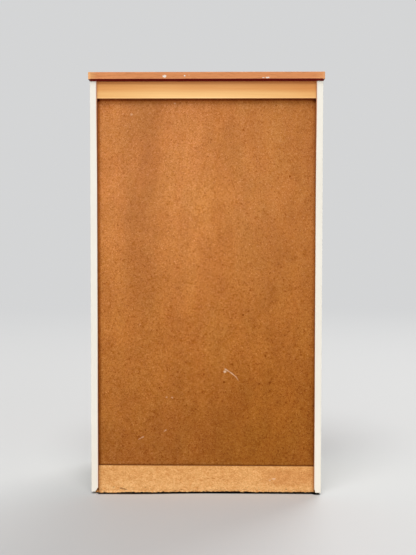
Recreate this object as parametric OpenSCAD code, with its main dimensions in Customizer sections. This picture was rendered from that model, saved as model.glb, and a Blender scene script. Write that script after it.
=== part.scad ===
// Tallboy: a tall chest of drawers with white faced side panels, a lipped teak top,
// teak drawer fronts and a hardboard back. Millimetres, +Z up, drawers open towards -Y.
// The origin is on the floor, in the middle of the whole outline.

/* [Carcass] */
// Width across the two side panels
body_w = 610; // [540:5:760]
// Depth of the side panels, from front edge to rear edge
side_depth = 425; // [380:5:500]
// Height of the side panels
side_h = 1085; // [1000:5:1250]
// Thickness of the side panels
side_t = 18; // [16:0.5:22]

/* [Top] */
// Thickness of the top
top_t = 23.5; // [19:0.5:28]
// Thickness of the solid lippings round the top
lipping_t = 6; // [4.5:0.5:9]
// Radius of the lippings' rounded upper arrises
lipping_r = 1.5; // [0.5:0.25:3]
// Height of the bevel under the lippings' outer faces
lipping_bevel_h = 5; // [2:0.5:8]
// Width of that bevel, in from the outer faces
lipping_bevel_w = 4; // [2:0.5:5.5]
// How far the top stands out past each side panel
top_side_out = 4; // [3:0.5:15]
// How far the top stands out behind the side panels
top_rear_out = 5; // [3:0.5:15]
// How far the top stands out in front of the side panels
top_front_out = 4; // [3:0.5:15]

/* [Rear frame] */
// Height of the pine rail under the top
rear_rail_h = 45; // [40:1:80]
// Thickness of the pine rail
rear_rail_t = 20; // [18:0.5:25]
// How far the pine rail's face lies inside the side panels' rear edges
rear_rail_in = 3; // [0:0.5:5]
// Height of the chipboard rail at the foot
foot_rail_h = 70.5; // [50:0.5:100]
// Thickness of the chipboard rail
foot_rail_t = 18; // [15:0.5:22]
// How far the chipboard rail's face lies inside the side panels' rear edges
foot_rail_in = 8; // [4:0.5:10]
// Height of the chipboard rail's lower edge above the side panels' lower edges, negative below
foot_rail_up = -1; // [-3:0.5:5]
// Thickness of the hardboard back
back_t = 3; // [3:0.5:5]
// How far the hardboard's face lies inside the side panels' rear edges
back_in = 12; // [11:0.5:14]
// Depth of the grooves that hold the hardboard
back_groove_d = 6; // [4:0.5:8]

/* [Front frame] */
// Height of the rail behind the highest drawer front
front_rail_h = 35; // [30:1:50]
// Thickness of that rail
front_rail_t = 20; // [18:0.5:25]
// Gap between the drawer front's back and that rail
front_rail_gap = 4; // [2:0.5:10]
// Height of the plinth board
plinth_h = 70; // [50:1:100]
// Thickness of the plinth board
plinth_t = 18; // [16:0.5:22]
// How far the plinth lies behind the side panels' front edges
plinth_in = 30; // [10:1:60]
// Radius of the eased edges on rails, plinth and drawer fronts
eased_r = 1; // [0.5:0.25:2]

/* [Drawer fronts] */
// Height of each shallow drawer front
shallow_front_h = 165; // [145:1:200]
// Thickness of the drawer fronts
front_t = 18; // [17:0.5:22]
// Gap above, below and between the drawer fronts
front_gap = 3; // [2:0.5:5]
// Clearance between a drawer and the side panel beside it
side_play = 1.5; // [1:0.25:2.5]

/* [Drawer boxes] */
// Thickness of the drawer sides
box_side_t = 12; // [11:0.5:15]
// Thickness of the drawer backs
box_back_t = 12; // [9:0.5:15]
// Thickness of the front that laps over the ends of the drawer sides
front_lap_t = 6; // [4:0.5:9]
// Height of a drawer box's lower edge above its front's lower edge
box_up = 12; // [6:1:20]
// Gap between the highest drawer box and the front rail above it
box_rail_gap = 10; // [5:1:20]
// Gap between the drawer boxes and the thickest rear rail
box_rear_gap = 6; // [4:1:20]
// How far a drawer's back lies inside the rear ends of its sides
box_back_in = 8; // [4:1:20]
// Radius of the drawer sides' rounded upper edges
box_top_r = 2; // [0.5:0.5:4]
// Depth of the housings that hold the drawer back in the sides
back_housing_d = 3; // [2:0.5:4]
// Thickness of the drawer bottoms
bottom_t = 4; // [3:0.5:6]
// Depth of the grooves that hold a drawer bottom
bottom_groove_d = 5; // [4:0.5:6]
// Height of a drawer bottom above its box's lower edge
bottom_up = 10; // [8:1:15]

/* [Runners] */
// Height of a runner
runner_h = 13; // [10:0.5:18]
// How far a runner stands out of its side panel
runner_out = 7; // [6:0.25:8]
// Distance of the runners' front ends from the side panels' front edges
runner_front_in = 40; // [30:1:60]
// Gap between the runners' rear ends and the hardboard
runner_rear_gap = 10; // [5:1:30]
// Clearance between a runner and the top of its groove
runner_play = 0.2; // [0.1:0.05:0.5]
// Clearance between a runner and the bottom of its groove's height
runner_drop = 0.8; // [0.5:0.1:1.5]
// Depth of the runner's bevelled front end
runner_bevel = 3; // [1:0.5:4]
// Distance of the end screws from a runner's ends
runner_screw_in = 30; // [20:1:60]

/* [Knobs] */
// Diameter of a knob's head
knob_d = 36; // [28:1:44]
// Length of a knob's head, out from its stem
knob_head_l = 12; // [9:0.5:16]
// Radius of the rounded rim of a knob's head
knob_rim_r = 4; // [2:0.5:4.5]
// Diameter of a knob's stem at its waist
knob_waist_d = 14; // [12:0.5:18]
// Radius of the hollow turned round a knob's stem
knob_cove_r = 5; // [3:0.5:6]
// Thickness of the disc at a knob's foot
knob_foot_t = 2; // [1:0.5:4]
// Depth of the shallow dish in a knob's face
knob_dish = 1.5; // [0.5:0.25:2]
// Distance of a knob's middle from the end of its drawer front
knob_in = 135; // [80:5:180]

/* [Fastenings] */
// Diameter of the dowels
dowel_d = 8; // [6:0.5:9]
// Length of the dowels
dowel_l = 30; // [25:1:40]
// Depth of a dowel in a side panel's face or in the top
dowel_in = 12; // [10:0.5:13]
// Diameter of all screw shanks
screw_d = 3.5; // [3:0.25:4.5]
// Diameter of the screw heads
screw_head_d = 7; // [6:0.25:9]
// Length of the runner screws
runner_screw_l = 20; // [16:0.5:21]
// Depth of the knob screws in the knobs
knob_screw_in = 14; // [10:0.5:15]
// Distance of the end dowels under the top from the corner blocks
top_dowel_gap = 20; // [10:1:60]
// Width and height of a corner block
block_w = 20; // [16:1:25]
// Length of a corner block, front to back
block_l = 40; // [30:1:60]
// Depth of the corner block screws in the top and the side panels
block_screw_in = 12; // [8:0.5:14]
// Diameter of a glide
glide_d = 16; // [12:0.5:16]
// Thickness of a glide under its side panel
glide_t = 6; // [2:0.5:8]
// Length of a glide's nail
glide_nail_l = 15; // [10:1:25]
// Distance of a glide's middle from the end of its side panel
glide_in = 30; // [15:1:80]

/* [Wear] */
// Width of the larger break at a side panel's foot
large_chip_w = 7.5; // [3:0.5:10]
// Height of the larger break
large_chip_h = 13; // [8:1:30]
// Width of the smaller break at the other panel's foot
small_chip_w = 3.5; // [2:0.5:7]
// Height of the smaller break
small_chip_h = 15; // [8:1:30]
// How far both breaks run in from the rear edge
chip_l = 22; // [10:1:30]

/* [Hidden] */
$fn = 48;
// Clearance round the hardboard, drawer bottoms, drawer backs and dowels
fit_play = 0.1;
// Clearance at the ends of the sheets in their grooves
end_play = 0.5;
// Overlap that lets a cutting shape leave the solid it cuts
cut = 1;
// Slot in a screw head
slot_w = 1;
slot_d = 0.9;
// Height of a screw's countersunk head, and of its tapered point
screw_head_h = 2.4;
screw_point_h = 4;
glide_nail_d = 2.2;
glide_rim_r = 1;
// Turns of a bar, by the way its eased edges face
FRONT = 0;
RIGHT = 90;
REAR = 180;
LEFT = -90;

shallow_rows = 2;
deep_rows = 3;
rows = shallow_rows + deep_rows;

inner_w = body_w - 2 * side_t;
top_w = body_w + 2 * top_side_out;
top_depth = top_front_out + side_depth + top_rear_out;
knob_stem_l = knob_foot_t + 2 * knob_cove_r;
knob_l = knob_stem_l + knob_head_l;

// Front edges and rear edges of the side panels, with the outline centred on y = 0
front_y = knob_l - (knob_l + side_depth + top_rear_out) / 2;
rear_y = front_y + side_depth;
under_top = glide_t + side_h;
inner_x = inner_w / 2;

rear_rail_y = rear_y - rear_rail_in;
rear_rail_z = under_top - rear_rail_h;
foot_rail_y = rear_y - foot_rail_in;
foot_rail_z = glide_t + foot_rail_up;
foot_rail_top = foot_rail_z + foot_rail_h;
back_y = rear_y - back_in;
front_rail_y = front_y + front_t + front_rail_gap;
front_rail_z = under_top - front_rail_h;
plinth_y = front_y + plinth_in;
plinth_top = glide_t + plinth_h;

drawer_w = inner_w - 2 * side_play;
opening_h = under_top - plinth_top;
deep_front_h = (opening_h - (rows + 1) * front_gap - shallow_rows * shallow_front_h) / deep_rows;
rear_frame_in = max(rear_rail_in + rear_rail_t, foot_rail_in + foot_rail_t, back_in + back_t);
box_end_y = rear_y - rear_frame_in - box_rear_gap;
box_start_y = front_y + front_lap_t;
box_inner_w = drawer_w - 2 * box_side_t;
box_back_y = box_end_y - box_back_in - box_back_t;

runner_y = front_y + runner_front_in;
runner_end_y = back_y - back_t - runner_rear_gap;
runner_groove_d = runner_out - side_play + end_play;

block_front_y = front_rail_y + front_rail_t + block_l / 2;
block_rear_y = min(rear_rail_y - rear_rail_t, back_y - back_t) - block_l / 2;
block_screw_l = block_w + block_screw_in;
knob_screw_l = front_t + knob_screw_in;

// Drawer 1 is the highest
function front_h(n) = n <= shallow_rows ? shallow_front_h : deep_front_h;
function front_z(n) = n == 0 ? under_top : front_z(n - 1) - front_gap - front_h(n);
function box_z(n) = front_z(n) + box_up;
function box_h(n) = front_h(n) + front_gap - front_rail_h - box_rail_gap - box_up;
function runner_z(n) = box_z(n) + (box_h(n) - runner_h) / 2;
function bottom_z(n) = box_z(n) + bottom_up;
function knob_x(side) = side * (drawer_w / 2 - knob_in);
function knob_z(n) = front_z(n) + front_h(n) / 2;

// Places, as y and z, of the dowels in a rail's ends, a quarter of the way in from its edges
function rail_dowels(y, t, z, h) = [for (share = [1 / 4, 3 / 4]) [y + t / 2, z + share * h]];
all_rail_dowels = concat(
  rail_dowels(rear_rail_y - rear_rail_t, rear_rail_t, rear_rail_z, rear_rail_h),
  rail_dowels(foot_rail_y - foot_rail_t, foot_rail_t, foot_rail_z, foot_rail_h),
  rail_dowels(front_rail_y, front_rail_t, front_rail_z, front_rail_h),
  rail_dowels(plinth_y, plinth_t, glide_t, plinth_h)
);
// The dowels under the top lie between the corner blocks
top_dowel_ys = [
  block_front_y + block_l / 2 + top_dowel_gap,
  (block_front_y + block_rear_y) / 2,
  block_rear_y - block_l / 2 - top_dowel_gap
];
runner_screw_ys = [
  runner_y + runner_screw_in,
  (runner_y + runner_end_y) / 2,
  runner_end_y - runner_screw_in
];
glide_ys = [front_y + glide_in, rear_y - glide_in];

CARCASS_NODES = [
  "left_side_panel", "right_side_panel", "top_panel", "top_front_lipping",
  "top_rear_lipping", "top_left_lipping", "top_right_lipping", "back_panel",
  "rear_top_rail", "rear_foot_rail", "front_top_rail", "plinth_board",
  "left_runners", "right_runners", "runner_screws", "dowels",
  "corner_blocks", "corner_block_screws", "glides"
];
DRAWER_PIECES = [
  "front", "left_side", "right_side", "back", "bottom",
  "left_knob", "right_knob", "knob_screws"
];

TEAK = [0.66, 0.38, 0.2];
WHITE = [0.95, 0.93, 0.88];
PINE = [0.9, 0.7, 0.44];
CHIPBOARD = [0.83, 0.6, 0.37];
HARDBOARD = [0.72, 0.45, 0.24];
BEECH = [0.86, 0.71, 0.52];
STEEL = [0.7, 0.7, 0.7];

// A rectangle along x whose two corners on y = 0 are rounded
module eased_section(length, depth, r) {
  translate([0, r]) square([length, depth - r]);
  translate([r, 0]) square([length - 2 * r, depth]);
  for (x = [r, length - r]) translate([x, r]) circle(r);
}

// A bar with two eased edges along one face, its length centred and its lower edge at z = 0
module eased_bar(length, depth, height, r, turn) {
  rotate([0, -90, turn])
    linear_extrude(length, center = true)
      eased_section(height, depth, r);
}

// A board that stands on edge along y, with a rounded upper edge at z = 0
module topped_board(length, thickness, height, r) {
  rotate([-90, 0, 0]) linear_extrude(length) eased_section(thickness, height, r);
}

// A dowel, or its hole when play is given, along x from side panel to rail
module rail_dowel(side, place, play) {
  translate([side * (inner_x + dowel_in + play), place[0], place[1]])
    rotate([0, -90 * side, 0])
      cylinder(d = dowel_d + 2 * play, h = dowel_l + 2 * play);
}

// A dowel, or its hole, up from a side panel's upper edge into the top
module top_dowel(side, y, play) {
  translate([side * (inner_x + side_t / 2), y, under_top + dowel_in - dowel_l - play])
    cylinder(d = dowel_d + 2 * play, h = dowel_l + 2 * play);
}

// A countersunk screw, or its hole: the head's face is at z = 0 and the point is down
module screw(length, play) {
  r = screw_d / 2 + play;
  shank_l = length - screw_point_h;
  difference() {
    union() {
      translate([0, 0, -screw_head_h - play])
        cylinder(r1 = r, r2 = screw_head_d / 2 + play, h = screw_head_h + play);
      translate([0, 0, -shank_l]) cylinder(r = r, h = shank_l - screw_head_h / 2);
      translate([0, 0, -length - play])
        cylinder(r1 = r / 3, r2 = r, h = screw_point_h + play);
      if (play > 0) cylinder(r = screw_head_d / 2 + play, h = cut);
    }
    if (play == 0)
      translate([-screw_head_d, -slot_w / 2, -slot_d])
        cube([2 * screw_head_d, slot_w, slot_d + cut]);
  }
}

module runner_screw(side, n, y, play) {
  translate([side * (inner_x - runner_out), y, runner_z(n) + runner_h / 2])
    rotate([0, -90 * side, 0]) screw(runner_screw_l, play);
}

// Every screw of one side's runners
module runner_screw_set(side, play) {
  for (n = [1:rows]) for (y = runner_screw_ys) runner_screw(side, n, y, play);
}

// The two screws of a corner block: one up into the top, one out into the side panel
module block_screw_pair(side, y, play) {
  block_x = side * (inner_x - block_w / 2);
  translate([block_x, y - block_l / 4, under_top - block_w])
    rotate([180, 0, 0]) screw(block_screw_l, play);
  translate([side * (inner_x - block_w), y + block_l / 4, under_top - block_w / 2])
    rotate([0, -90 * side, 0]) screw(block_screw_l, play);
}

module block_screw_set(play) {
  for (side = [-1, 1]) for (y = [block_front_y, block_rear_y]) block_screw_pair(side, y, play);
}

module knob_screw(n, side, play) {
  translate([knob_x(side), front_y + front_t, knob_z(n)])
    rotate([-90, 0, 0]) screw(knob_screw_l, play);
}

// The nail of a glide, or its hole
module glide_nail(side, y, play) {
  translate([side * (inner_x + side_t / 2), y, glide_t - cut])
    cylinder(d = glide_nail_d + 2 * play, h = glide_nail_l + cut + play);
}

// The hardboard's space, which cuts its grooves when play is given
module back_sheet(play, end) {
  sheet_w = inner_w + 2 * (back_groove_d - end_play + end);
  low_z = foot_rail_top - back_groove_d + end_play - end;
  high_z = rear_rail_z + back_groove_d - end_play + end;
  translate([-sheet_w / 2, back_y - back_t - play, low_z])
    cube([sheet_w, back_t + 2 * play, high_z - low_z]);
}

// The broken corner at a side panel's foot: a wedge, w by h in the rear edge, that runs
// out along the panel's inner face
module chip(side, w, h) {
  turn = atan(w / chip_l);
  section_w = w * cos(turn);
  translate([side * inner_x, rear_y, glide_t])
    rotate([90, 0, -side * turn])
      translate([0, 0, -w - cut])
        linear_extrude(chip_l + w + 2 * cut)
          polygon([
            [-side * w, -cut],
            [side * section_w * (h + cut) / h, -cut],
            [0, h],
            [-side * w, h]
          ]);
}

module side_panel(side) {
  color(WHITE)
    difference() {
      translate([side * (inner_x + side_t / 2) - side_t / 2, front_y, glide_t])
        cube([side_t, side_depth, side_h]);
      back_sheet(fit_play, end_play);
      for (place = all_rail_dowels) rail_dowel(side, place, fit_play);
      for (y = top_dowel_ys) top_dowel(side, y, fit_play);
      for (y = glide_ys) glide_nail(side, y, fit_play);
      runner_screw_set(side, fit_play);
      block_screw_set(fit_play);
      if (side > 0) chip(side, large_chip_w, large_chip_h);
      else chip(side, small_chip_w, small_chip_h);
    }
}

module top_panel() {
  core_w = top_w - 2 * lipping_t;
  core_depth = top_depth - 2 * lipping_t;
  color(TEAK)
    difference() {
      translate([-core_w / 2, front_y - top_front_out + lipping_t, under_top])
        cube([core_w, core_depth, top_t]);
      for (side = [-1, 1]) for (y = top_dowel_ys) top_dowel(side, y, fit_play);
      block_screw_set(fit_play);
    }
}

// The space under one bevel: it starts where the bevel leaves an outer face on x = 0
module bevel_space(length) {
  rotate([0, atan(lipping_bevel_w / lipping_bevel_h), 0])
    translate([0, -length / 2, -2 * top_t])
      cube([2 * top_t, length, 2 * top_t]);
}

// The bevels run round the top's four edges and meet at its corners
module all_bevel_spaces() {
  middle_y = front_y - top_front_out + top_depth / 2;
  translate([0, middle_y, under_top + lipping_bevel_h]) {
    for (turn = [0, 180]) {
      rotate([0, 0, turn]) translate([top_w / 2, 0, 0]) bevel_space(top_depth + 2 * cut);
      rotate([0, 0, turn + 90]) translate([top_depth / 2, 0, 0]) bevel_space(top_w + 2 * cut);
    }
  }
}

// The side lippings run the whole depth, and the other two fit between them
module side_lipping(side) {
  color(TEAK)
    difference() {
      translate([side * top_w / 2, front_y - top_front_out + top_depth / 2, under_top])
        eased_bar(top_depth, lipping_t, top_t, lipping_r, side > 0 ? RIGHT : LEFT);
      all_bevel_spaces();
    }
}

module end_lipping(y, turn) {
  color(TEAK)
    difference() {
      translate([0, y, under_top])
        eased_bar(top_w - 2 * lipping_t, lipping_t, top_t, lipping_r, turn);
      all_bevel_spaces();
    }
}

module back_panel() {
  color(HARDBOARD) back_sheet(0, 0);
}

module rear_top_rail() {
  color(PINE)
    difference() {
      translate([0, rear_rail_y, rear_rail_z])
        eased_bar(inner_w, rear_rail_t, rear_rail_h, eased_r, REAR);
      back_sheet(fit_play, end_play);
      for (side = [-1, 1]) for (place = all_rail_dowels) rail_dowel(side, place, fit_play);
    }
}

module rear_foot_rail() {
  color(CHIPBOARD)
    difference() {
      translate([-inner_x, foot_rail_y - foot_rail_t, foot_rail_z])
        cube([inner_w, foot_rail_t, foot_rail_h]);
      back_sheet(fit_play, end_play);
      for (side = [-1, 1]) for (place = all_rail_dowels) rail_dowel(side, place, fit_play);
    }
}

module front_top_rail() {
  color(PINE)
    difference() {
      translate([0, front_rail_y, front_rail_z])
        eased_bar(inner_w, front_rail_t, front_rail_h, eased_r, FRONT);
      for (side = [-1, 1]) for (place = all_rail_dowels) rail_dowel(side, place, fit_play);
    }
}

module plinth_board() {
  color(WHITE)
    difference() {
      translate([0, plinth_y, glide_t])
        eased_bar(inner_w, plinth_t, plinth_h, eased_r, FRONT);
      for (side = [-1, 1]) for (place = all_rail_dowels) rail_dowel(side, place, fit_play);
    }
}

// A runner in plan, with the front corner bevelled where the drawer's groove starts
module runner(side, n) {
  translate([side * inner_x, 0, runner_z(n)])
    linear_extrude(runner_h)
      polygon([
        [0, runner_y],
        [-side * (runner_out - runner_bevel), runner_y],
        [-side * runner_out, runner_y + runner_bevel],
        [-side * runner_out, runner_end_y],
        [0, runner_end_y]
      ]);
}

module runner_set(side) {
  color(BEECH)
    difference() {
      for (n = [1:rows]) runner(side, n);
      runner_screw_set(side, fit_play);
    }
}

module runner_screws() {
  color(STEEL) for (side = [-1, 1]) runner_screw_set(side, 0);
}

module dowels() {
  color(BEECH)
    for (side = [-1, 1]) {
      for (place = all_rail_dowels) rail_dowel(side, place, 0);
      for (y = top_dowel_ys) top_dowel(side, y, 0);
    }
}

module corner_blocks() {
  color(WHITE)
    difference() {
      for (side = [-1, 1]) for (y = [block_front_y, block_rear_y])
        translate([side * (inner_x - block_w / 2), y, under_top - block_w / 2])
          cube([block_w, block_l, block_w], center = true);
      block_screw_set(fit_play);
    }
}

module corner_block_screws() {
  color(STEEL) block_screw_set(0);
}

module glide(side, y) {
  translate([side * (inner_x + side_t / 2), y, 0])
    rotate_extrude() {
      translate([0, glide_rim_r]) square([glide_d / 2, glide_t - glide_rim_r]);
      square([glide_d / 2 - glide_rim_r, glide_t]);
      intersection() {
        translate([glide_d / 2 - glide_rim_r, glide_rim_r]) circle(glide_rim_r);
        square([glide_d / 2, glide_t]);
      }
    }
  glide_nail(side, y, 0);
}

module glides() {
  color(STEEL) for (side = [-1, 1]) for (y = glide_ys) glide(side, y);
}

// The drawer bottom's space, which cuts its grooves when play is given
module drawer_bottom_sheet(n, play, end) {
  sheet_w = box_inner_w + 2 * (bottom_groove_d - end_play + end);
  start_y = front_y + front_t - bottom_groove_d + end_play - end;
  end_y = box_back_y + box_back_t;
  translate([-sheet_w / 2, start_y, bottom_z(n) - play])
    cube([sheet_w, end_y - start_y + (end > 0 ? box_back_in + cut : 0), bottom_t + 2 * play]);
}

// The drawer back's space, which cuts its housings when play is given
module drawer_back_board(n, play) {
  low_z = bottom_z(n) + bottom_t + fit_play;
  height = box_z(n) + box_h(n) - low_z;
  back_w = box_inner_w + 2 * (back_housing_d - fit_play + play);
  translate([0, box_back_y - play, low_z + height])
    rotate([0, 0, 90])
      translate([0, -back_w / 2, 0])
        if (play > 0)
          translate([0, 0, -height - play])
            cube([box_back_t + 2 * play, back_w, height + play + cut]);
        else
          topped_board(back_w, box_back_t, height, box_top_r);
}

// The rebates behind its ends take the sides, and are as high as the box
module drawer_front(n) {
  h = front_h(n);
  rebate_w = box_side_t + cut;
  color(TEAK)
    difference() {
      translate([0, front_y, front_z(n)])
        intersection() {
          eased_bar(drawer_w, front_t, h, eased_r, FRONT);
          translate([-drawer_w / 2, 0, 0]) linear_extrude(h) eased_section(drawer_w, front_t, eased_r);
        }
      for (side = [-1, 1]) {
        translate([side * (drawer_w / 2 - box_side_t + rebate_w / 2) - rebate_w / 2, box_start_y, box_z(n)])
          cube([rebate_w, front_t, box_h(n)]);
        knob_screw(n, side, fit_play);
      }
      drawer_bottom_sheet(n, fit_play, end_play);
    }
}

module drawer_side(n, side) {
  groove_z = runner_z(n) - runner_drop;
  groove_y = runner_y - runner_play;
  color(BEECH)
    difference() {
      translate([side * (drawer_w - box_side_t) / 2 - box_side_t / 2, box_start_y, box_z(n) + box_h(n)])
        topped_board(box_end_y - box_start_y, box_side_t, box_h(n), box_top_r);
      translate([side * drawer_w / 2 - runner_groove_d, groove_y, groove_z])
        cube([2 * runner_groove_d, box_end_y - groove_y + cut, runner_drop + runner_h + runner_play]);
      drawer_bottom_sheet(n, fit_play, end_play);
      drawer_back_board(n, fit_play);
    }
}

module drawer_back(n) {
  color(BEECH) drawer_back_board(n, 0);
}

module drawer_bottom(n) {
  color(HARDBOARD) drawer_bottom_sheet(n, 0, 0);
}

// Half of a knob's section: foot disc, coved stem, rounded head with a dished face
module knob_section() {
  head_r = knob_d / 2;
  stem_r = knob_waist_d / 2 + knob_cove_r;
  dish_w = head_r - knob_rim_r;
  dish_r = (dish_w * dish_w + knob_dish * knob_dish) / (2 * knob_dish);
  square([stem_r, knob_foot_t]);
  translate([0, knob_foot_t])
    difference() {
      square([stem_r, 2 * knob_cove_r]);
      translate([stem_r, knob_cove_r]) circle(knob_cove_r);
    }
  translate([0, knob_stem_l])
    difference() {
      union() {
        square([head_r - knob_rim_r, knob_head_l]);
        translate([0, knob_rim_r]) square([head_r, knob_head_l - 2 * knob_rim_r]);
        for (y = [knob_rim_r, knob_head_l - knob_rim_r])
          translate([head_r - knob_rim_r, y]) circle(knob_rim_r);
      }
      translate([0, knob_head_l - knob_dish + dish_r]) circle(dish_r, $fn = 180);
    }
}

module drawer_knob(n, side) {
  color(TEAK)
    difference() {
      translate([knob_x(side), front_y, knob_z(n)])
        rotate([90, 0, 0]) rotate_extrude() knob_section();
      knob_screw(n, side, fit_play);
    }
}

module drawer_knob_screws(n) {
  color(STEEL) for (side = [-1, 1]) knob_screw(n, side, 0);
}

side_panel(-1);  // left_side_panel
side_panel(1);  // right_side_panel
top_panel();
end_lipping(front_y - top_front_out, FRONT);  // top_front_lipping
end_lipping(rear_y + top_rear_out, REAR);  // top_rear_lipping
side_lipping(-1);  // top_left_lipping
side_lipping(1);  // top_right_lipping
back_panel();
rear_top_rail();
rear_foot_rail();
front_top_rail();
plinth_board();
runner_set(-1);  // left_runners
runner_set(1);  // right_runners
runner_screws();
dowels();
corner_blocks();
corner_block_screws();
glides();
for (n = [1:rows]) {
  drawer_front(n);
  drawer_side(n, -1);
  drawer_side(n, 1);
  drawer_back(n);
  drawer_bottom(n);
  drawer_knob(n, -1);
  drawer_knob(n, 1);
  drawer_knob_screws(n);
}
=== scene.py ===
import math

import bmesh
import bpy
from mathutils import Matrix, Vector


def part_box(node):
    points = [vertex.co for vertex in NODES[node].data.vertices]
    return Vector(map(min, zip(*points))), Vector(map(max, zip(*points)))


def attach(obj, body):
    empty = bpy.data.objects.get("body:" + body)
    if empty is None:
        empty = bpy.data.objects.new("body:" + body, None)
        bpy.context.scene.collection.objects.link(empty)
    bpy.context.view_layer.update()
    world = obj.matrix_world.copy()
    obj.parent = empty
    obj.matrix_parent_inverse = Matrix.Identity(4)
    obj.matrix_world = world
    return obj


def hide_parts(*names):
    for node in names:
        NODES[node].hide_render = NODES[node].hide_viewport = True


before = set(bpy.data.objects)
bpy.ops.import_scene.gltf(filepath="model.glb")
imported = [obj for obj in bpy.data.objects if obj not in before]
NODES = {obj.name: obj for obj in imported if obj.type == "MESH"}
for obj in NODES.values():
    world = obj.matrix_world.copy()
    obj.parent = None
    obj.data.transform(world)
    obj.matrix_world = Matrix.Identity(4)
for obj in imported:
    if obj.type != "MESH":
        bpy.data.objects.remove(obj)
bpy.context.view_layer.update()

DRAWERS = range(1, 6)

# Camera, fitted to the photograph: place in metres, turns in radians, 36 mm sensor on the long side
CAMERA_PLACE = (-0.0508, 2.7286, 0.6832)
CAMERA_YAW = 0.0183
CAMERA_PITCH = 0.0421
CAMERA_ROLL = 0.0011
CAMERA_LENS = 61.77

# Studio: a lamp's level is the brightness it gives a white face turned straight to it
BACKDROP = (0.66, 0.665, 0.67, 1.0)
FLOOR_SEEN = (0.47, 0.47, 0.467, 1.0)
FLOOR_BOUNCE = (0.64, 0.64, 0.63, 1.0)
SKY_LEVEL = 0.42
LAMP_SOFTNESS = math.radians(32)
REAR_LAMP = {"azimuth": math.radians(82), "elevation": math.radians(65), "level": 0.80}
FRONT_LAMP = {"azimuth": math.radians(-112), "elevation": math.radians(46), "level": 0.50}
FLOOR_SIZE = 60.0
FLOOR_FADE = (1.6, 7.0)
# Painted shade on the floor under the carcass: its factor, and where it starts and is full
UNDER_SHADE = (0.01, 0.01, 0.01, 1.0)
UNDER_LEFT = (-0.304, -0.301)
UNDER_RIGHT = (0.290, 0.286)
UNDER_FRONT = (-0.162, -0.152)
# Its rear end, and by how much it moves back towards the right foot and at the left one
UNDER_REAR = 0.2115
REAR_TO_RIGHT = (-0.02, 0.22, 0.0, 0.013)
REAR_AT_LEFT = (-0.28, -0.29, 0.0, 0.007)

# Edges that the finishes follow, from the frame
BACK_LOW, BACK_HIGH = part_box("back_panel")
PINE_LOW, PINE_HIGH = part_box("rear_top_rail")
FOOT_LOW, FOOT_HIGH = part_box("rear_foot_rail")
INNER_X = PINE_HIGH[0]
PLINTH_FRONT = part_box("plinth_board")[0][1]


def srgb(red, green, blue):
    """A colour given as 0 to 255 on screen, as linear values."""
    parts = [c / 255 for c in (red, green, blue)]
    return tuple(c / 12.92 if c <= 0.04045 else ((c + 0.055) / 1.055) ** 2.4 for c in parts) + (1.0,)


def shade(red, green, blue):
    """A factor that darkens or lightens a colour."""
    return (red, green, blue, 1.0)


class Wiring:
    """The nodes of one material or group, made and joined by short calls."""

    def __init__(self, tree):
        self.tree = tree

    def feed(self, node, key, value):
        """Sets an input, or links it when the value is another node's output."""
        if isinstance(value, bpy.types.NodeSocket):
            self.tree.links.new(value, node.inputs[key])
        else:
            node.inputs[key].default_value = value

    def node(self, kind, inputs=None, **settings):
        made = self.tree.nodes.new("ShaderNode" + kind)
        for name, value in settings.items():
            setattr(made, name, value)
        for key, value in (inputs or {}).items():
            self.feed(made, key, value)
        return made

    def math(self, operation, a, b=0.0, c=0.0, clamp=False):
        made = self.node("Math", {0: a, 1: b, 2: c}, operation=operation, use_clamp=clamp)
        return made.outputs[0]

    def times(self, a, b):
        return self.math("MULTIPLY", a, b)

    def vector(self, operation, a, b=(0, 0, 0)):
        made = self.node("VectorMath", {0: a, 1: b}, operation=operation)
        return made.outputs["Value" if operation in ("LENGTH", "DOT_PRODUCT", "DISTANCE") else "Vector"]

    def noise(self, place, scale, detail=2.0, roughness=0.5, distortion=0.0):
        inputs = {"Vector": place, "Scale": scale, "Detail": detail, "Roughness": roughness,
                  "Distortion": distortion}
        return self.node("TexNoise", inputs).outputs["Fac"]

    def cells(self, place, scale, output="Distance"):
        return self.node("TexVoronoi", {"Vector": place, "Scale": scale}).outputs[output]

    def span(self, value, low, high, to_low=0.0, to_high=1.0):
        """The value eased from low..high to to_low..to_high, and held beyond."""
        inputs = {0: value, 1: low, 2: high, 3: to_low, 4: to_high}
        return self.node("MapRange", inputs, interpolation_type="SMOOTHSTEP").outputs[0]

    def mix(self, share, a, b, blend="MIX"):
        made = self.node("Mix", data_type="RGBA", blend_type=blend)
        self.feed(made, 0, share)
        self.feed(made, 6, a)
        self.feed(made, 7, b)
        return made.outputs[2]

    def within(self, value, full, none):
        """1 up to the first value, easing to 0 at the second."""
        return self.span(value, full, none, 1.0, 0.0)

    def tint(self, colour, mask, factor, share=None):
        """The colour multiplied by a factor where the mask is, or by a share of it."""
        if share is not None:
            mask = self.times(mask, share)
        return self.mix(mask, colour, factor, "MULTIPLY")

    def ramp(self, value, stops):
        """Colours along a value, given as (position, colour) pairs."""
        made = self.node("ValToRGB", {0: value})
        made.color_ramp.interpolation = "B_SPLINE"
        elements = made.color_ramp.elements
        while len(elements) < len(stops):
            elements.new(0.5)
        for element, (position, colour) in zip(elements, stops):
            element.position = position
            element.color = colour
        return made.outputs[0]

    def split(self, place):
        return self.node("SeparateXYZ", {0: place}).outputs

    def join(self, x, y, z):
        return self.node("CombineXYZ", {0: x, 1: y, 2: z}).outputs[0]

    def facing(self):
        """The parts of the surface's normal."""
        return self.split(self.node("NewGeometry").outputs["Normal"])

    def bump(self, height, strength, distance):
        inputs = {"Height": height, "Strength": strength, "Distance": distance}
        return self.node("Bump", inputs).outputs[0]

    def use(self, tree, **inputs):
        """A copy of a shared group; an input's spaces are written as underscores."""
        made = self.node("Group", node_tree=tree)
        for key, value in inputs.items():
            self.feed(made, key.replace("_", " "), value)
        return made.outputs


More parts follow.
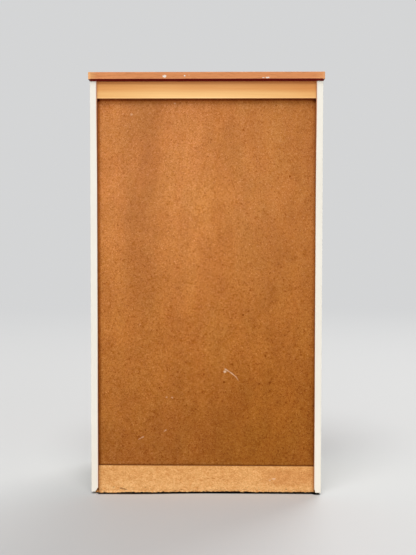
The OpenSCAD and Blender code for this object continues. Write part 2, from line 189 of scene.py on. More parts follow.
def shared_group(name, inputs, outputs, build):
    """A node group with named sockets: build gets its wiring and inputs, and returns its outputs."""
    tree = bpy.data.node_groups.new(name, "ShaderNodeTree")
    for label, start in inputs.items():
        kind = "Vector" if isinstance(start, tuple) else "Float"
        made = tree.interface.new_socket(label, in_out="INPUT", socket_type="NodeSocket" + kind)
        made.default_value = start
    for label in outputs:
        tree.interface.new_socket(label, in_out="OUTPUT", socket_type="NodeSocketFloat")
    wiring = Wiring(tree)
    results = build(wiring, tree.nodes.new("NodeGroupInput").outputs)
    end = tree.nodes.new("NodeGroupOutput")
    for label, value in zip(outputs, results):
        wiring.feed(end, label, value)
    return tree


def build_timber(w, given):
    """Growth rings round a leaning pith, slow bands, long fibres and short pores.

    The vector runs along the grain, down into the board and across its face.
    """
    place = given["Vector"]
    along, deep, across = w.split(place)
    stretched = w.vector("MULTIPLY", place, (1.3, 4.0, 4.0))
    sway = w.math("SUBTRACT", w.noise(stretched, 1.0), 0.5)
    sway_across = w.math("SUBTRACT", w.noise(w.vector("ADD", stretched, (7.3, 2.9, 5.1)), 1.0), 0.5)
    leaning = w.math("MULTIPLY_ADD", along, given["Lean"], deep)
    deep = w.math("MULTIPLY_ADD", sway, given["Waviness"], leaning)
    across = w.math("MULTIPLY_ADD", sway_across, given["Waviness"], across)
    radius = w.vector("LENGTH", w.join(0.0, deep, across))
    ripple = w.math("SUBTRACT", w.noise(w.vector("MULTIPLY", place, (3, 60, 60)), 1.0), 0.5)
    turns = w.math("MULTIPLY_ADD", ripple, given["Ripple"], w.math("DIVIDE", radius, given["Spacing"]))
    drift = w.noise(w.join(w.times(turns, 0.45), 3.7, 1.9), 1.0)
    turns = w.math("MULTIPLY_ADD", drift, 2.2, turns)
    year = w.math("FRACT", turns)
    strength = w.span(w.noise(w.join(w.times(turns, 0.8), 8.3, 4.1), 1.0), 0.30, 0.62, 0.35, 1.0)
    rings = w.times(strength, w.times(w.span(year, 0.15, 0.85), w.span(year, 1.0, 0.86)))
    bands = w.span(w.noise(w.join(w.times(turns, 0.3), 0.0, 0.0), 1.0), 0.35, 0.65)
    fibres = w.noise(w.vector("MULTIPLY", place, (0.02, 1, 1)), given["Fibre Scale"], 3.0, 0.6)
    dashes = w.noise(w.vector("MULTIPLY", place, (0.05, 1, 1)), given["Pore Scale"], 1.0)
    return rings, bands, w.span(fibres, 0.3, 0.7), w.span(dashes, 0.60, 0.70)


def build_mottle(w, given):
    """Soft cloudy change of tone between 0 and 1."""
    cloud = w.noise(given["Vector"], given["Scale"], 3.0, 0.55, 0.4)
    return (w.span(cloud, 0.32, 0.68),)


def build_fibres(w, given):
    """Fibres pressed at all angles: dark ones and light ones."""
    place = given["Vector"]
    dark = w.noise(place, given["Scale"], 3.0, 0.65, 1.4)
    other = w.vector("ADD", place, (3.1, 1.7, 5.3))
    light = w.noise(other, w.times(given["Scale"], 1.2), 3.0, 0.65, 1.4)
    return w.span(dark, 0.48, 0.70), w.span(light, 0.50, 0.72)


def build_board_edge(w, given):
    """Nearness to the edges of a box, from 0 to 1, broken up as handling leaves it."""
    below = w.split(w.vector("SUBTRACT", given["Vector"], given["Low"]))
    above = w.split(w.vector("SUBTRACT", given["High"], given["Vector"]))
    x, y, z = (w.math("MINIMUM", below[i], above[i]) for i in range(3))
    nearer, further = w.math("MINIMUM", x, y), w.math("MAXIMUM", x, y)
    second = w.math("MAXIMUM", nearer, w.math("MINIMUM", further, z))
    uneven = w.noise(given["Vector"], 55.0, 3.0, 0.6)
    reach = w.times(given["Reach"], w.span(uneven, 0.35, 0.7, 0.15, 1.6))
    return (w.math("SUBTRACT", 1.0, w.math("DIVIDE", second, reach), clamp=True),)


def build_seam_shade(w, given):
    """Painted shade where a face meets its neighbour, ragged and fading with distance."""
    uneven = w.math("SUBTRACT", w.noise(given["Vector"], 45.0, 4.0, 0.6), 0.5)
    distance = w.math("MULTIPLY_ADD", uneven, given["Reach"], given["Distance"])
    return (w.within(distance, 0.0, given["Reach"]),)


def build_stroke(w, given):
    """A scratch from one point to another, ragged and fading to its end."""
    wobble = w.math("MULTIPLY_ADD", w.noise(given["Vector"], 420.0), 0.0024, -0.0012)
    place = w.vector("ADD", given["Vector"], w.join(wobble, 0.0, wobble))
    away = w.vector("SUBTRACT", place, given["Start"])
    run = w.vector("SUBTRACT", given["End"], given["Start"])
    along, length = w.vector("DOT_PRODUCT", away, run), w.vector("DOT_PRODUCT", run, run)
    share = w.math("DIVIDE", along, length, clamp=True)
    foot = w.node("VectorMath", {0: run, "Scale": share}, operation="SCALE").outputs[0]
    width = w.times(given["Width"], w.math("MULTIPLY_ADD", share, -0.6, 1.0))
    return (w.within(w.vector("DISTANCE", away, foot), w.times(width, 0.35), width),)


def build_splash(w, given):
    """One small spot with a ragged outline."""
    away = w.vector("DIVIDE", w.vector("SUBTRACT", given["Vector"], given["Centre"]), given["Size"])
    ragged = w.math("MULTIPLY_ADD", w.noise(given["Vector"], 330.0, 3.0, 0.6), 1.6, -0.8)
    return (w.within(w.math("ADD", w.vector("LENGTH", away), ragged), 0.6, 1.0),)


def build_dust(w, given):
    """Dust that has settled on what faces up, thicker in patches."""
    patches = w.noise(given["Vector"], 9.0, 4.0, 0.6)
    return (w.times(w.span(w.facing()[2], 0.6, 0.95), w.span(patches, 0.3, 0.75)),)


ORIGIN = (0, 0, 0)
TIMBER = shared_group(
    "Timber grain", {"Vector": ORIGIN, "Spacing": 0.006, "Lean": 0.1, "Waviness": 0.05, "Ripple": 0.5,
                     "Fibre Scale": 900.0, "Pore Scale": 1100.0},
    ("Rings", "Bands", "Fibres", "Pores"), build_timber)
MOTTLE = shared_group("Mottle", {"Vector": ORIGIN, "Scale": 20.0}, ("Cloud",), build_mottle)
FIBRES = shared_group(
    "Pressed fibres", {"Vector": ORIGIN, "Scale": 400.0}, ("Dark", "Light"), build_fibres)
BOARD_EDGE = shared_group(
    "Board edge", {"Vector": ORIGIN, "Low": ORIGIN, "High": (1, 1, 1), "Reach": 0.002},
    ("Near",), build_board_edge)
SEAM_SHADE = shared_group(
    "Seam shade", {"Vector": ORIGIN, "Distance": 0.0, "Reach": 0.01}, ("Mask",), build_seam_shade)
STROKE = shared_group(
    "Scratch", {"Vector": ORIGIN, "Start": ORIGIN, "End": (0, 0, 1), "Width": 0.002},
    ("Mask",), build_stroke)
SPLASH = shared_group(
    "Splash", {"Vector": ORIGIN, "Centre": ORIGIN, "Size": (1, 1, 1)}, ("Mask",), build_splash)
DUST = shared_group("Settled dust", {"Vector": ORIGIN}, ("Mask",), build_dust)


class Finish(Wiring):
    """One material: its wiring, the object coordinates and the Principled shader."""

    def __init__(self, name, roughness=0.5, specular=0.5, **constants):
        self.material = bpy.data.materials.new(name)
        self.material.use_nodes = True
        super().__init__(self.material.node_tree)
        self.shader = self.tree.nodes["Principled BSDF"]
        self.place = self.node("TexCoord").outputs["Object"]
        self.feed(self.shader, "Roughness", roughness)
        self.feed(self.shader, "Specular IOR Level", specular)
        for key, value in constants.items():
            self.feed(self.shader, key.replace("_", " "), value)

    def wear(self, box, reach):
        """How near a spot is to the edges of that box."""
        low, high = tuple(box[0]), tuple(box[1])
        return self.use(BOARD_EDGE, Vector=self.place, Low=low, High=high, Reach=reach)["Near"]

    def seam_shade(self, distance, reach):
        """Painted shade along a seam, by the distance from it and how far the shade reaches."""
        return self.use(SEAM_SHADE, Vector=self.place, Distance=distance, Reach=reach)["Mask"]

    def cloud(self, scale, stretch=(1, 1, 1)):
        """Soft cloudy change of tone; a stretch under 1 lengthens the clouds along that axis."""
        return self.use(MOTTLE, Vector=self.vector("MULTIPLY", self.place, stretch), Scale=scale)["Cloud"]

    def grain(self, order, box, pith, **settings):
        """The timber group; order names the axes along the grain, into the board and across its face,
        and pith is the pith's place in that order, from the middle of the box."""
        axes = dict(zip("XYZ", self.split(self.place)))
        middle = {axis: (box[0][i] + box[1][i]) / 2 for i, axis in enumerate("XYZ")}
        centre = tuple(middle[axis] + offset for axis, offset in zip(order, pith))
        along = self.join(*(axes[axis] for axis in order))
        return self.use(TIMBER, Vector=self.vector("SUBTRACT", along, centre), **settings)

    def stretches(self, tone, places, rows):
        """Broad stretches of another tone, each a factor and the spans that it lies in: a place's
        name, the value at which the stretch starts and the value from which it is full."""
        for factor, *spans in rows:
            mask = 1.0
            for name, start, full in spans:
                mask = self.times(mask, self.span(places[name], start, full))
            tone = self.tint(tone, mask, factor)
        return tone

    def strokes(self, flat, lines, width, share, so_far):
        """The strongest of the scratches, each given by its two ends as x and z."""
        for start, end in lines:
            mask = self.use(STROKE, Vector=flat, Start=(start[0], 0, start[1]), End=(end[0], 0, end[1]),
                            Width=width)["Mask"]
            so_far = self.math("MAXIMUM", self.times(mask, share), so_far)
        return so_far

    def splashes(self, flat, spots):
        """The strongest of the spots, each given as x, z, half width and half height."""
        so_far = 0.0
        for x, z, wide, high in spots:
            mask = self.use(SPLASH, Vector=flat, Centre=(x, 0, z), Size=(wide, 1, high))["Mask"]
            so_far = self.math("MAXIMUM", mask, so_far)
        return so_far

    def finish(self, colour, roughness=None, normal=None):
        self.feed(self.shader, "Base Color", colour)
        if roughness is not None:
            self.feed(self.shader, "Roughness", roughness)
        if normal is not None:
            self.feed(self.shader, "Normal", normal)
        return self.material


# Tones of the hardboard by height, from its foot to its top
HARDBOARD_TONES = ((0.0, srgb(162, 99, 39)), (0.15, srgb(174, 109, 42)), (0.33, srgb(192, 123, 52)),
                   (0.5, srgb(194, 125, 57)), (0.72, srgb(212, 142, 74)), (1.0, srgb(202, 133, 70)))
# Clouds over the hardboard: scale, stretch, factor and share
HARDBOARD_CLOUDS = ((26.0, (1.0, 1.0, 0.6), shade(0.84, 0.80, 0.76), 0.60),
                    (9.0, (1.0, 1.0, 0.4), shade(0.86, 0.82, 0.84), 0.64),
                    (26.0, (1.0, 1.0, 0.1), shade(0.97, 0.91, 0.83), 0.50),
                    (15.0, (1.0, 1.0, 0.7), shade(1.01, 0.95, 0.98), 0.80))
# Stretches by x and z, then painted shade along the left seam, under the pine rail and over the chipboard
# rail
HARDBOARD_STRETCHES = (
    (shade(0.88, 0.874, 0.88), ("x", 0.105, 0.155), ("x", 0.245, 0.195), ("z", 0.15, 0.60)),
    (shade(1.09, 1.12, 1.20), ("x", -0.035, 0.035), ("x", 0.125, 0.055), ("z", 0.35, 0.65)),
    (shade(1.01, 1.00, 0.72), ("x", 0.15, -0.18), ("z", 0.50, 0.10)),
    (shade(1.06, 1.07, 1.18), ("x", -0.18, -0.25), ("z", 0.26, 0.13)),
    (shade(1.04, 1.08, 1.06), ("z", 0.27, 0.13)),
    (shade(1.01, 1.04, 1.08), ("x", -0.03, -0.10), ("x", -0.25, -0.19), ("z", 0.40, 0.60)),
    (shade(0.87, 0.76, 0.56), ("x", 0.279, 0.282)),
    (shade(0.95, 0.88, 0.66), ("under rail", 0.014, 0.008)),
    (shade(0.38, 0.16, 0.01), ("under rail", 0.008, 0.001)),
    (shade(0.60, 0.56, 0.488), ("over rail", 0.004, 0.0)),
    # A paler line a little higher over the chipboard rail
    (shade(1.05, 1.10, 1.22), ("over rail", 0.003, 0.005), ("over rail", 0.011, 0.007)))
# Soft paler patches of the hardboard: x, z, half width and half height, and their factor
PALE_PATCHES = ((-0.0356, 0.4175, 0.048, 0.190, shade(1.08, 1.13, 1.16)),
                (0.2500, 0.2270, 0.045, 0.065, shade(1.12, 1.17, 1.20)),
                (0.0000, 0.7950, 0.080, 0.065, shade(1.07, 1.13, 1.10)))
# Marks on the hardboard, as x and z in metres on its face; spots add half width and half height
SCRATCH = ((-0.0507, 0.3335), (-0.0656, 0.3239), (-0.0791, 0.3133), (-0.0853, 0.3037))
SCRATCH_SHARES = (1.0, 0.9, 0.5)
SCRATCH_WIDTH = 0.0021
SHORT_STROKES = (((0.1676, 0.1511), (0.1804, 0.1444)), ((0.1074, 0.1697), (0.1122, 0.1656)))
STROKE_WIDTH = 0.0024
PALE_SPOTS = ((-0.0496, 0.3266, 0.0044, 0.0036),)
FAINT_SPOTS = ((0.1969, 1.0062, 0.0040, 0.0032), (0.0833, 1.0350, 0.0034, 0.0028),
               (0.1052, 0.2578, 0.0030, 0.0022), (0.0908, 0.2570, 0.0034, 0.0024))
# The last three dark spots, in the top corners under the pine rail, are painted shade
DARK_SPOTS = ((-0.0473, 0.2985, 0.0042, 0.0036), (-0.1575, 0.3692, 0.0040, 0.0044),
              (-0.1695, 0.2977, 0.0040, 0.0040), (-0.1419, 0.2948, 0.0044, 0.0026),
              (-0.0976, 0.4778, 0.0034, 0.0034), (-0.0976, 0.9653, 0.0030, 0.0030),
              (-0.2203, 0.8435, 0.0040, 0.0040), (0.2850, 1.0432, 0.0046, 0.0050),
              (-0.2850, 1.0410, 0.0030, 0.0060), (-0.2800, 1.0405, 0.0020, 0.0045))
SCRATCHED = srgb(238, 204, 168)


def hardboard_tone(f, x, z):
    """The broad tones of the hardboard: by height and side, clouds, stretches, pale patches and painted
    seam shade.
    """
    height = f.math("DIVIDE", f.math("SUBTRACT", z, BACK_LOW[2]), BACK_HIGH[2] - BACK_LOW[2])
    tone = f.ramp(height, HARDBOARD_TONES)
    side = f.mix(f.span(x, -0.30, 0.30), shade(0.93, 0.87, 0.76), shade(1.10, 1.07, 1.12))
    tone = f.mix(1.0, tone, side, "MULTIPLY")
    for scale, stretch, factor, share in HARDBOARD_CLOUDS:
        tone = f.tint(tone, f.cloud(scale, stretch), factor, share)
    places = {"x": x, "z": z, "under rail": f.math("SUBTRACT", PINE_LOW[2], z),
              "over rail": f.math("SUBTRACT", z, FOOT_HIGH[2])}
    tone = f.stretches(tone, places, HARDBOARD_STRETCHES)
    for centre_x, centre_z, wide, high, factor in PALE_PATCHES:
        away = f.vector("SUBTRACT", f.join(x, 0.0, z), (centre_x, 0.0, centre_z))
        away = f.vector("LENGTH", f.vector("DIVIDE", away, (wide, 1.0, high)))
        tone = f.tint(tone, f.span(away, 1.2, 0.3), factor)
    # Painted shade along the seams with the side panels and under the pine rail
    seam = f.math("SUBTRACT", INNER_X, f.math("ABSOLUTE", x))
    tone = f.tint(tone, f.seam_shade(seam, 0.009), shade(0.60, 0.50, 0.40), 0.50)
    return f.tint(tone, f.seam_shade(places["under rail"], 0.018), shade(0.60, 0.52, 0.44), 0.25)


def hardboard_marks(f, tone, flat):
    """Dark spots, a few of them painted shade in the top corners, and pale scratches on the hardboard."""
    faint = f.times(f.splashes(flat, FAINT_SPOTS), 0.45)
    pale = f.math("MAXIMUM", f.splashes(flat, PALE_SPOTS), faint)
    for start, end, share in zip(SCRATCH, SCRATCH[1:], SCRATCH_SHARES):
        pale = f.strokes(flat, ((start, end),), SCRATCH_WIDTH, share, pale)
    pale = f.strokes(flat, SHORT_STROKES, STROKE_WIDTH, 0.5, pale)
    tone = f.tint(tone, f.splashes(flat, DARK_SPOTS), shade(0.56, 0.36, 0.05))
    return f.mix(f.times(pale, 0.75), tone, SCRATCHED)


def hardboard_back():
    """Pressed fibre sheet: mottled, darker towards the foot, with pale scratches."""
    f = Finish("hardboard back", specular=0.08)
    x, _, z = f.split(f.place)
    fine = f.use(FIBRES, Vector=f.place, Scale=260.0)
    coarse = f.use(FIBRES, Vector=f.place, Scale=110.0)
    tone = hardboard_tone(f, x, z)
    speckle = f.span(z, 0.80, 0.30, 0.70, 1.0)
    tone = f.tint(tone, coarse["Dark"], shade(0.80, 0.68, 0.36), speckle)
    tone = f.tint(tone, coarse["Light"], shade(1.15, 1.27, 1.66), speckle)
    tone = f.tint(tone, fine["Dark"], shade(0.54, 0.29, 0.05), speckle)
    tone = f.tint(tone, fine["Light"], shade(1.40, 1.78, 3.10), speckle)
    flecks = f.noise(f.place, 210.0, 1.0, 0.5, 0.8)
    tone = f.tint(tone, f.span(flecks, 0.68, 0.75), shade(0.66, 0.50, 0.24))
    tone = hardboard_marks(f, tone, f.join(x, 0.0, z))
    rough = f.math("MULTIPLY_ADD", fine["Dark"], 0.15, 0.55)
    relief = f.math("SUBTRACT", f.times(coarse["Light"], 0.6), fine["Dark"])
    return f.finish(tone, rough, f.bump(relief, 0.4, 0.0004))


def hardboard_bottom():
    """The drawer bottoms' smooth face."""
    f = Finish("drawer bottom hardboard", specular=0.4)
    fine = f.use(FIBRES, Vector=f.place, Scale=420.0)
    cloud = f.cloud(14.0)
    tone = f.mix(cloud, srgb(156, 101, 58), srgb(166, 110, 65))
    tone = f.tint(tone, fine["Dark"], shade(0.55, 0.48, 0.40), 0.5)
    tone = f.tint(tone, fine["Light"], shade(1.35, 1.40, 1.50), 0.4)
    dust = f.use(DUST, Vector=f.place)["Mask"]
    tone = f.mix(f.times(dust, 0.06), tone, srgb(196, 186, 172))
    rough = f.math("MULTIPLY_ADD", fine["Dark"], 0.15, 0.5)
    return f.finish(tone, rough, f.bump(fine["Dark"], 0.2, 0.0003))


# Stretches of the pine rails: towards their ends, a painted shadow under the top, and up from their lower
# edge
PINE_STRETCHES = (
    (shade(0.93, 0.86, 0.776), ("x", 0.08, 0.30)),
    (shade(0.93, 0.86, 0.776), ("x", -0.02, -0.24)),
    (shade(0.96, 0.91, 0.86), ("x", -0.20, -0.27)),
    (shade(0.928, 0.766, 0.64), ("under top", 0.031, 0.018)),
    (shade(0.80, 0.65, 0.55), ("under top", 0.010, 0.004)),
    (shade(0.95, 0.91, 0.89), ("x", 0.12, 0.02), ("under top", 0.031, 0.024)),
    # Painted highlight up from the lower edge, and painted shade on its lowest millimetre
    (shade(1.04, 1.06, 1.11), ("height", 0.0125, 0.0060)),
    (shade(1.10, 1.21, 1.36), ("height", 0.0044, 0.0030)),
    (shade(0.34, 0.19, 0.08), ("height", 0.0016, 0.0008)))


def pine(name, box, pith):
    """Planed pine: straight soft rings, painted shadow under the top, painted highlight and shade at its
    lower edge.
    """
    f = Finish(name, specular=0.3)
    x, _, z = f.split(f.place)
    wood = f.grain("XYZ", box, pith, Spacing=0.0045, Lean=0.012, Waviness=0.008, Ripple=0.3,
                   Fibre_Scale=380.0)
    tone = f.mix(f.times(wood["Rings"], 0.22), srgb(252, 201, 133), srgb(232, 166, 97))
    tone = f.tint(tone, wood["Bands"], shade(0.94, 0.88, 0.80), 0.35)
    tone = f.tint(tone, wood["Fibres"], shade(0.90, 0.84, 0.76), 0.45)
    places = {"x": x, "under top": f.math("SUBTRACT", box[1][2], z),
              "height": f.math("SUBTRACT", z, box[0][2])}
    tone = f.stretches(tone, places, PINE_STRETCHES)
    rough = f.math("MULTIPLY_ADD", wood["Rings"], -0.08, 0.62)
    return f.finish(tone, rough, f.bump(wood["Fibres"], 0.15, 0.0003))


# Gouges near the chipboard rail's lower edge, fine cracks, and spots rubbed pale, as x and z in metres
GOUGES = (((0.2282, 0.0132), (0.2125, 0.0100)),)
GOUGE_SPOTS = ((0.2465, 0.0164, 0.0026, 0.0016), (-0.2140, 0.0131, 0.0034, 0.0016),
               (0.1620, 0.0150, 0.0020, 0.0012), (-0.1010, 0.0120, 0.0022, 0.0012))
CRACKS = (((0.0602, 0.0171), (0.0512, 0.0154)), ((0.0264, 0.0143), (0.0184, 0.0198)),
          ((0.0184, 0.0374), (0.0064, 0.0347)), ((-0.0029, 0.0402), (-0.0100, 0.0412)),
          ((-0.0170, 0.0420), (-0.0235, 0.0405)), ((-0.0455, 0.0379), (-0.0588, 0.0360)),
          ((-0.0400, 0.0152), (-0.0480, 0.0162)), ((-0.0560, 0.0150), (-0.0641, 0.0158)))
RUBBED_SPOTS = ((-0.1807, 0.0406, 0.0060, 0.0022), (-0.1700, 0.0370, 0.0026, 0.0016))
# Stretches of the chipboard rail: its lower part, a darker patch, its lower edge, and painted shade on its
# upper edge and top
CHIPBOARD_STRETCHES = (
    (shade(1.05, 1.12, 1.22), ("height", 0.045, 0.010)),
    (shade(0.90, 0.82, 0.75), ("x", -0.13, -0.20), ("height", 0.010, 0.024), ("height", 0.064, 0.054)),
    (shade(1.096, 1.16, 1.256), ("height", 0.004, 0.0)),
    (shade(0.55, 0.46, 0.352), ("under arris", 0.0022, 0.0004)),
    (shade(0.30, 0.20, 0.09), ("upward", 0.5, 0.8)))
# How far the flakes' outlines are bent, in metres
FLAKE_BEND = 0.006


def raw_chipboard():
    """Raw chipboard: pressed flakes of several tones, dark crumbs along the lower edge."""
    f = Finish("raw chipboard", specular=0.2)
    x, _, z = f.split(f.place)
    flat = f.join(x, 0.0, z)
    bend = f.node("TexNoise", {"Vector": f.place, "Scale": 420.0, "Detail": 3.0}).outputs["Color"]
    bend = f.vector("MULTIPLY", f.vector("SUBTRACT", bend, (0.5,) * 3), (FLAKE_BEND,) * 3)
    flakes = f.vector("MULTIPLY", f.vector("ADD", f.place, bend), (1.0, 1.0, 1.6))
    tones = f.split(f.cells(flakes, 330.0, "Color"))[0]
    small = f.split(f.cells(flakes, 700.0, "Color"))[1]
    tone = f.mix(tones, srgb(230, 160, 90), srgb(250, 197, 131))
    tone = f.tint(tone, f.span(small, 0.72, 0.95), shade(0.74, 0.56, 0.36), 0.6)
    tone = f.tint(tone, f.span(small, 0.22, 0.05), shade(1.14, 1.28, 1.50), 0.5)
    tone = f.tint(tone, f.cloud(34.0, (1.0, 1.0, 2.2)), shade(0.90, 0.83, 0.74), 0.8)
    tone = f.tint(tone, f.cloud(90.0, (1.0, 1.0, 1.8)), shade(0.91, 0.84, 0.75), 0.7)
    height = f.math("SUBTRACT", z, FOOT_LOW[2])
    places = {"x": x, "height": height, "under arris": f.math("SUBTRACT", FOOT_HIGH[2], z),
              "upward": f.facing()[2]}
    tone = f.stretches(tone, places, CHIPBOARD_STRETCHES)
    specks = f.noise(f.vector("MULTIPLY", f.place, (1.0, 1.0, 1.9)), 190.0, 3.0, 0.65)
    dark = f.span(f.math("SUBTRACT", specks, f.span(height, 0.0, 0.03, 0.60, 0.70)), 0.0, 0.05)
    tone = f.tint(tone, dark, shade(0.42, 0.32, 0.24), 0.75)
    torn = f.strokes(flat, GOUGES, 0.0034, 1.0, f.splashes(flat, GOUGE_SPOTS))
    tone = f.tint(tone, torn, shade(0.36, 0.26, 0.18), 0.8)
    tone = f.tint(tone, f.strokes(flat, CRACKS, 0.0028, 1.0, 0.0), shade(0.78, 0.56, 0.34), 0.6)
    tone = f.mix(f.times(f.splashes(flat, RUBBED_SPOTS), 0.55), tone, srgb(244, 214, 186))
    # Painted shade along the seams with the side panels
    seam = f.math("SUBTRACT", INNER_X, f.math("ABSOLUTE", x))
    tone = f.tint(tone, f.seam_shade(seam, 0.010), shade(0.66, 0.56, 0.46), 0.6)
    relief = f.math("SUBTRACT", tones, f.times(f.math("MAXIMUM", dark, torn), 2.0))
    return f.finish(tone, 0.8, f.bump(relief, 0.45, 0.0005))


# Light and dark tones of the woods, and how strongly the teak's rings and bands show
FRONT_TONES = srgb(182, 116, 62), srgb(134, 78, 38)
# The top board's tones are a little darker than the fronts': painted shade against the stronger light from
# above
TOP_TONES = srgb(168, 104, 54), srgb(124, 70, 34)
KNOB_TONES = srgb(140, 82, 45), srgb(88, 49, 25)
LEFT_END_TONES = srgb(228, 162, 108), srgb(204, 134, 82)
RIGHT_END_TONES = srgb(240, 176, 114), srgb(216, 144, 86)
RUNNER_TONES = srgb(206, 164, 112), srgb(176, 130, 82)
DRAWER_TONES = srgb(228, 198, 152), srgb(202, 164, 114)
TEAK_FIGURE = 0.6


def teak(name, order, box, pith, tones, spacing=0.008, lean=0.09, waviness=0.07, gloss=0.36, wear=0.45):
    """Oiled teak: brown rings, long fibres and short dark pores."""
    f = Finish(name, specular=0.4)
    wood = f.grain(order, box, pith, Spacing=spacing, Lean=lean, Waviness=waviness, Ripple=0.6,
                   Fibre_Scale=700.0, Pore_Scale=1200.0)
    tone = f.mix(f.times(wood["Rings"], TEAK_FIGURE), *tones)
    tone = f.tint(tone, wood["Bands"], shade(0.80, 0.76, 0.72), TEAK_FIGURE)
    tone = f.tint(tone, wood["Fibres"], shade(0.78, 0.71, 0.65), 0.40)
    tone = f.tint(tone, wood["Pores"], shade(0.50, 0.42, 0.36), 0.55)
    tone = f.tint(tone, f.cloud(5.0), shade(0.86, 0.84, 0.82), 0.20)
    if wear:
        tone = f.tint(tone, f.wear(box, 0.0016), shade(1.28, 1.26, 1.24), wear)
    dust = f.use(DUST, Vector=f.place)["Mask"]
    tone = f.mix(f.times(dust, 0.08), tone, srgb(200, 190, 178))
    rough = f.math("MULTIPLY_ADD", wood["Fibres"], 0.12, f.math("MULTIPLY_ADD", dust, 0.12, gloss))
    relief = f.math("SUBTRACT", wood["Fibres"], wood["Pores"])
    return f.finish(tone, rough, f.bump(relief, 0.12, 0.0003))


# Paint splashes on the top's rear lipping: x, z, half width and half height in metres
PAINT_SPLASHES = ((0.1091, 1.1031, 0.0060, 0.0038), (0.0564, 1.1044, 0.0023, 0.0023),
                  (0.0450, 1.1058, 0.0012, 0.0010), (-0.1600, 1.0993, 0.0072, 0.0020),
                  (-0.1490, 1.0990, 0.0036, 0.0010))
# Height of the upper edge of the lipping's bevel
BEVEL_TOP = PINE_HIGH[2] + 0.005
# Painted shade for the dark undersides of the top's lippings
UNDERSIDE_SHADE = shade(0.165, 0.012, 0.002)
# Stretches of the rear lipping: its two paler ends, a painted highlight at its face's lower edge, the
# bevel's painted shade and the top
LIPPING_STRETCHES = (
    (shade(1.04, 1.26, 1.26), ("x", 0.284, 0.301)),
    (shade(1.03, 1.10, 1.12), ("x", -0.280, -0.296)),
    (shade(1.07, 1.12, 1.18), ("face height", 0.0034, 0.0022)),
    (UNDERSIDE_SHADE, ("face height", 0.0012, 0.0006)),
    (shade(0.60, 0.56, 0.50), ("upward", 0.5, 0.8)))


def teak_rear_lipping(box, pith):
    """The top's rear edge: bleached teak with paint splashes, and a bevel below darkened as painted shade.
    """
    f = Finish("teak rear lipping", specular=0.08)
    x, _, z = f.split(f.place)
    wood = f.grain("XYZ", box, pith, Spacing=0.003, Lean=0.03, Waviness=0.03, Fibre_Scale=520.0,
                   Pore_Scale=900.0)
    tone = f.mix(f.times(wood["Rings"], 0.3), srgb(228, 152, 99), srgb(194, 116, 68))
    tone = f.tint(tone, wood["Fibres"], shade(0.80, 0.73, 0.68), 0.45)
    tone = f.tint(tone, wood["Pores"], shade(0.55, 0.46, 0.40), 0.55)
    tone = f.tint(tone, f.cloud(12.0, (0.3, 1.0, 1.0)), shade(0.86, 0.82, 0.78), 0.35)
    tone = f.tint(tone, f.wear(box, 0.0022), shade(1.12, 1.14, 1.18), 0.4)
    places = {"x": x, "face height": f.math("SUBTRACT", z, BEVEL_TOP), "upward": f.facing()[2]}
    tone = f.stretches(tone, places, LIPPING_STRETCHES)
    splashes = f.splashes(f.join(x, 0.0, z), PAINT_SPLASHES)
    tone = f.mix(f.times(splashes, 0.92), tone, srgb(242, 234, 224))
    rough = f.math("MULTIPLY_ADD", wood["Fibres"], 0.12, 0.42)
    return f.finish(tone, rough, f.bump(wood["Fibres"], 0.12, 0.0003))


def teak_side_lipping(name, box, pith, end_tones):
    """A lipping whose paler end grain shows at the rear and the front, with painted shade under it near the
    rear.
    """
    f = Finish(name, specular=0.4)
    _, y, _ = f.split(f.place)
    wood = f.grain("YZX", box, pith, Spacing=0.0022, Lean=0.02, Waviness=0.02, Fibre_Scale=700.0)
    tone = f.mix(f.times(wood["Rings"], TEAK_FIGURE), *FRONT_TONES)
    tone = f.tint(tone, wood["Fibres"], shade(0.76, 0.68, 0.62), 0.5)
    _, ny, nz = f.facing()
    ends = f.mix(f.times(wood["Rings"], 0.7), *end_tones)
    tone = f.mix(f.span(f.math("ABSOLUTE", ny), 0.6, 0.9), tone, ends)
    tone = f.tint(tone, f.wear(box, 0.0014), shade(1.20, 1.18, 1.15), 0.5)
    # Painted shade on the underside near the rear
    near_rear = f.span(y, box[1][1] - 0.012, box[1][1] - 0.004)
    tone = f.tint(tone, f.times(f.span(nz, -0.3, -0.5), near_rear), UNDERSIDE_SHADE)
    return f.finish(tone, 0.42, f.bump(wood["Fibres"], 0.12, 0.0003))


# Width of the brown line at the inner rear arris, the foil's edge, widening near the top as painted shade:
# heights, and the width at each
FOIL_AND_SHADE_AT_TOP = (0.80, 1.09, 0.0007, 0.0030)
FOIL_AT_FOOT = (0.45, 0.20, 0.0, 0.0006)


